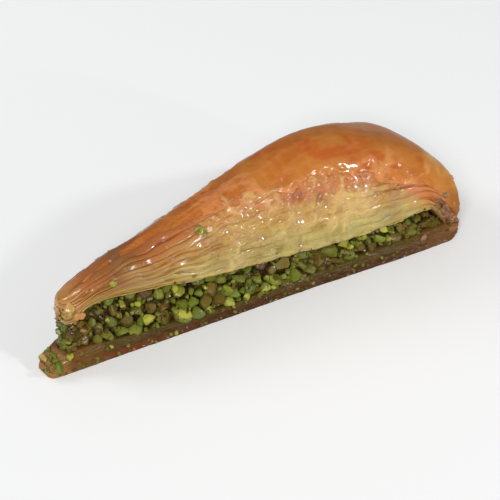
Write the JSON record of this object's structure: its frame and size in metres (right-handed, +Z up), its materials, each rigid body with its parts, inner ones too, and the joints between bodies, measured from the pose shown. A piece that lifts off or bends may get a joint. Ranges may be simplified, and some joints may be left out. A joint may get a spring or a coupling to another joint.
{
  "type": "baklava slice",
  "caption": "Long wedge of pistachio baklava: puffed, syrup-glazed flaky pastry over a layer of chopped pistachios on a thin pastry base, to be set on a plate.",
  "frame": {"origin": "centre of the bounding box in plan, on the flat underside that the slice rests on", "axes": "+X along the slice from its narrow tip to the browned outer end, +Y across it, +Z up through the stack of layers"},
  "size_m": [0.16, 0.0498, 0.0493],
  "materials": {
    "bottom_pastry": "syrup-soaked dark pastry, glossy at the cut",
    "pistachio_filling": "chopped green pistachios, damp with syrup",
    "top_pastry": "golden brown baked filo, glazed with syrup"
  },
  "bodies": {
    "root": {"bottom_pastry": "bottom_pastry", "pistachio_filling": "pistachio_filling", "top_pastry": "top_pastry"}
  },
  "joints": []
}
